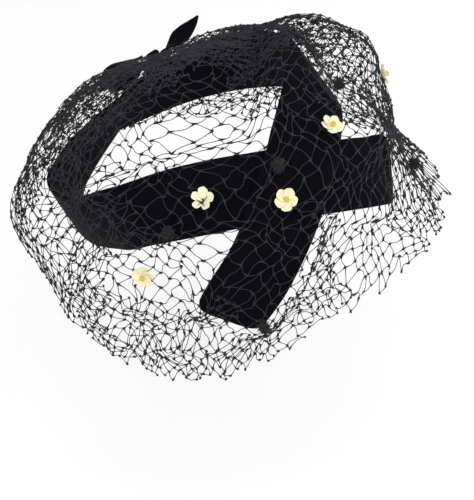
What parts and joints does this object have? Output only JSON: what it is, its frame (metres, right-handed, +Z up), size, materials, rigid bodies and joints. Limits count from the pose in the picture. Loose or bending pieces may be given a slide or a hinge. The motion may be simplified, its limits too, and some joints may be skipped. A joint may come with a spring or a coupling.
{
  "type": "fascinator",
  "caption": "Cocktail hat of a looped velvet band crossed in front, under a gathered net veil with a small bow, fabric flowers and chenille dots.",
  "frame": {"origin": "the middle of the head opening, where the hat sits on the head", "axes": "+Z up as worn, -Y is where the wearer looks, -X is the wearer's right"},
  "size_m": [0.2377, 0.231, 0.1599],
  "materials": {
    "velvet": "black velvet, short dense pile",
    "net": "knotted thread net, matt",
    "petal": "stiffened cream fabric, matt",
    "flower_centre": "yellow flocking, matt",
    "chenille": "fuzzy black chenille"
  },
  "bodies": {
    "root": {"velvet_band": "velvet", "veil_crown": "net", "veil_skirt": "net", "flower_side_petals": "petal", "flower_crossing_petals": "petal", "flower_crossing_centre": "flower_centre", "flower_low_petals": "petal", "flower_low_centre": "flower_centre", "flower_front_petals": "petal", "flower_front_centre": "flower_centre", "flower_left_petals": "petal", "flower_left_centre": "flower_centre", "dot_top": "chenille", "dot_brow": "chenille", "dot_crossing": "chenille", "dot_side": "chenille", "dot_temple": "chenille", "bow_knot": "velvet", "bow_loop": "velvet", "bow_tail": "velvet"}
  },
  "joints": []
}
